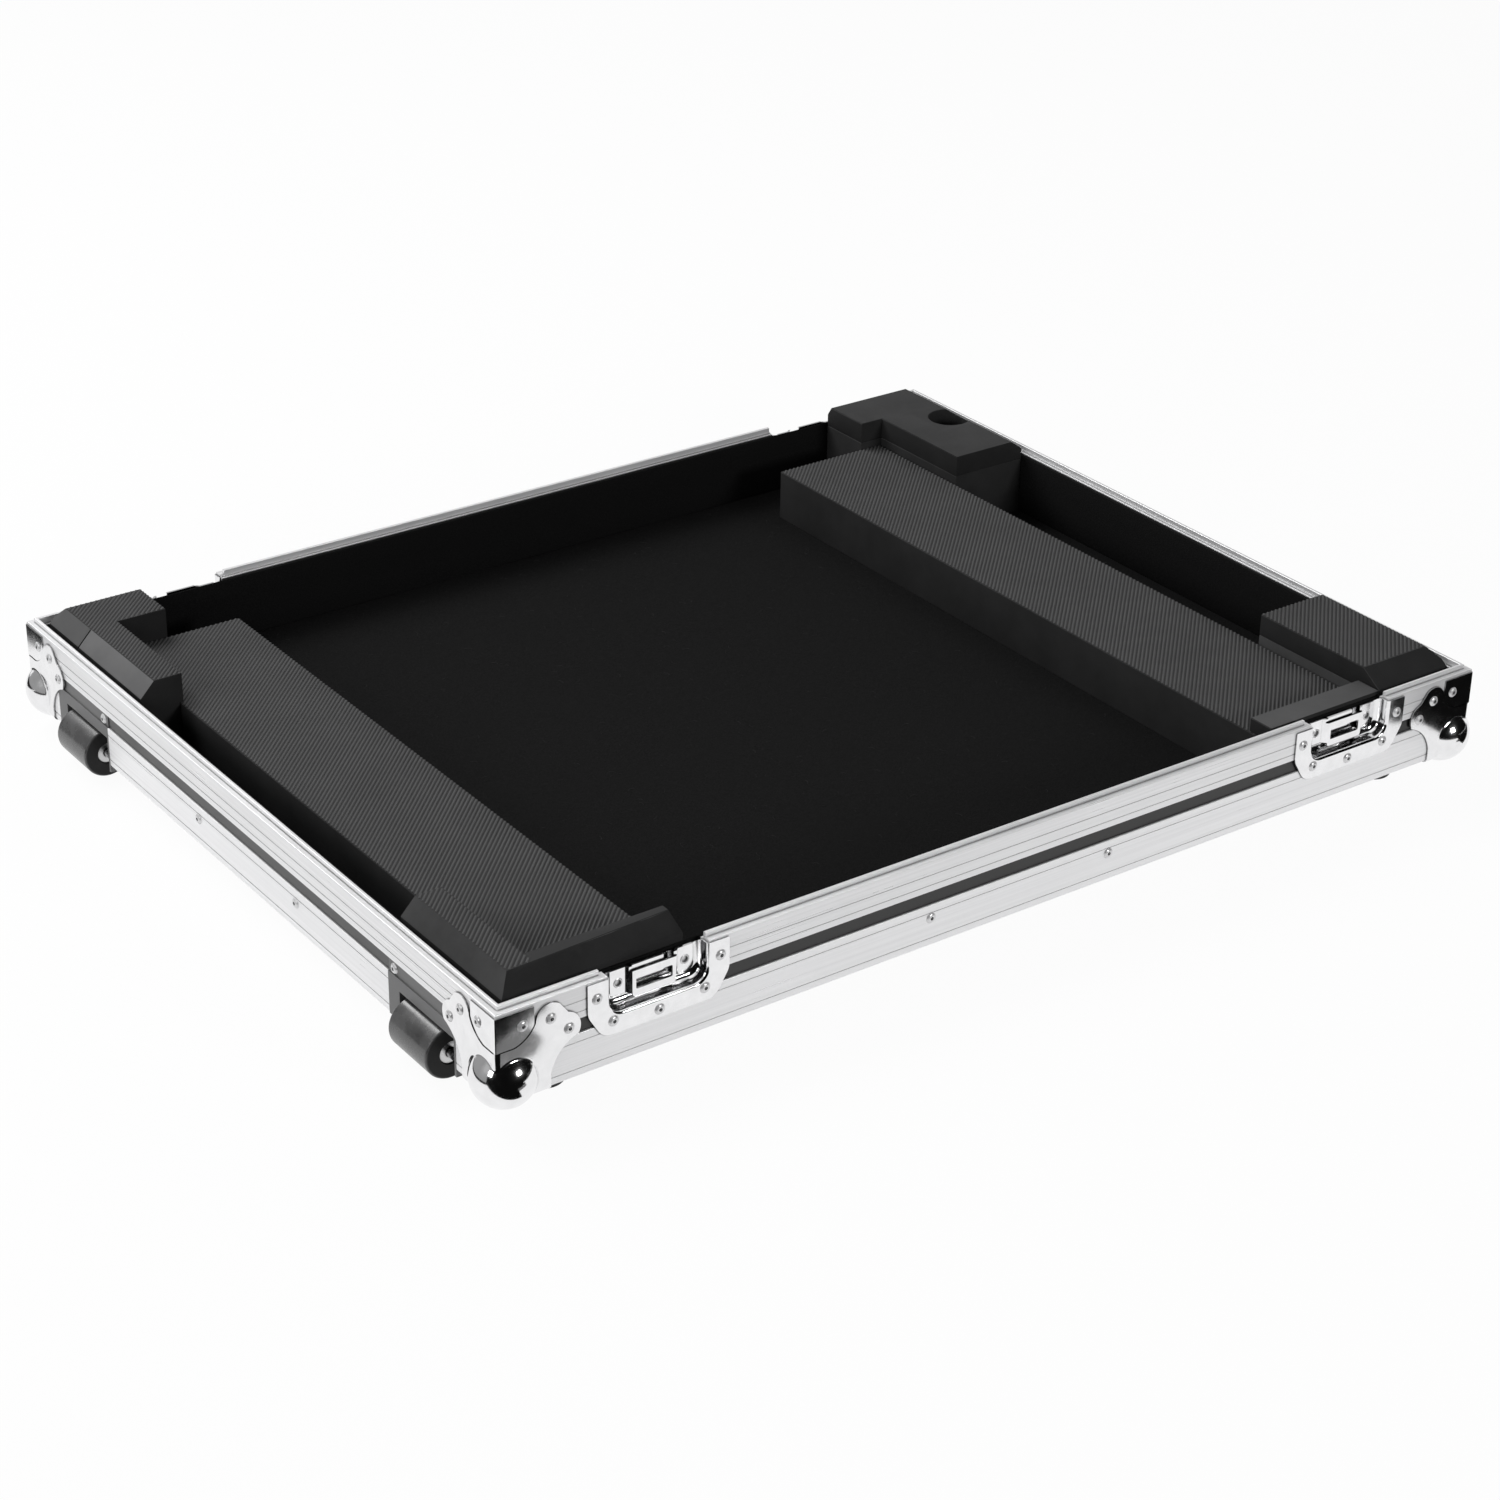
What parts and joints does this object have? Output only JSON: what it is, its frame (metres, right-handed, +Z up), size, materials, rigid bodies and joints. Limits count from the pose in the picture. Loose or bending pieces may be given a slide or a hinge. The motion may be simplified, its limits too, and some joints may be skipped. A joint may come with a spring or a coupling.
{
  "type": "mixer flight case tray",
  "caption": "Open base tray of a mixer flight case with aluminium rims, ball corners, recessed latch keepers, side rollers, rubber feet and foam blocks.",
  "frame": {"origin": "centre of the bounding box's underside, on the floor under the rubber feet", "axes": "+X runs along the long front face from the roller side to the other side, +Y from the front face to the rear face, +Z up"},
  "size_m": [0.816, 0.647, 0.0915],
  "materials": {
    "rim_aluminium": "satin",
    "edging_aluminium": "satin",
    "corner_steel": "polished",
    "latch_steel": "polished",
    "rivet_steel": "satin",
    "axle_steel": "satin",
    "laminate_board": "satin",
    "felt": "matte",
    "foam": "matte",
    "housing_plastic": "satin",
    "roller_rubber": "satin",
    "foot_rubber": "matte"
  },
  "bodies": {
    "case": {"base_board": "laminate_board", "corner_rivets": "rivet_steel", "edging_rivets": "rivet_steel", "floor_lining": "felt", "foot_screws": "axle_steel", "front_board": "laminate_board", "front_edging": "edging_aluminium", "front_left_ball_corner": "corner_steel", "front_left_block": "foam", "front_left_latch_dish": "latch_steel", "front_left_latch_keeper": "latch_steel", "front_left_rim_brace": "corner_steel", "front_lining": "felt", "front_right_ball_corner": "corner_steel", "front_right_block": "foam", "front_right_block_base": "foam", "front_right_latch_dish": "latch_steel", "front_right_latch_keeper": "latch_steel", "front_right_rim_brace": "corner_steel", "front_right_strip": "foam", "front_rim_left": "rim_aluminium", "front_rim_middle": "rim_aluminium", "front_rim_right": "rim_aluminium", "front_wheel_axle": "axle_steel", "front_wheel_housing": "housing_plastic", "latch_rivets": "rivet_steel", "left_board": "laminate_board", "left_edging": "edging_aluminium", "left_lining": "felt", "left_rim": "rim_aluminium", "left_riser": "foam", "rear_board": "laminate_board", "rear_edging": "edging_aluminium", "rear_left_ball_corner": "corner_steel", "rear_left_block": "foam", "rear_left_latch_dish": "latch_steel", "rear_left_latch_keeper": "latch_steel", "rear_left_rim_brace": "corner_steel", "rear_lining": "felt", "rear_right_ball_corner": "corner_steel", "rear_right_block": "foam", "rear_right_block_base": "foam", "rear_right_latch_dish": "latch_steel", "rear_right_latch_keeper": "latch_steel", "rear_right_rim_brace": "corner_steel", "rear_rim_left": "rim_aluminium", "rear_rim_middle": "rim_aluminium", "rear_rim_right": "rim_aluminium", "rear_wheel_axle": "axle_steel", "rear_wheel_housing": "housing_plastic", "right_board": "laminate_board", "right_edging": "edging_aluminium", "right_lining": "felt", "right_rim": "rim_aluminium", "right_riser": "foam", "rubber_feet": "foot_rubber"},
    "front_roller_body": {"front_roller": "roller_rubber", "front_roller_bearings": "axle_steel"},
    "rear_roller_body": {"rear_roller": "roller_rubber", "rear_roller_bearings": "axle_steel"}
  },
  "joints": [
    {"name": "front_roller_spin", "type": "hinge", "parent": "case", "child": "front_roller_body", "pos_m": [-0.39025, -0.23, 0.0195], "axis": [0, 1, 0], "continuous": true},
    {"name": "rear_roller_spin", "type": "hinge", "parent": "case", "child": "rear_roller_body", "pos_m": [-0.39025, 0.23, 0.0195], "axis": [0, 1, 0], "continuous": true}
  ]
}
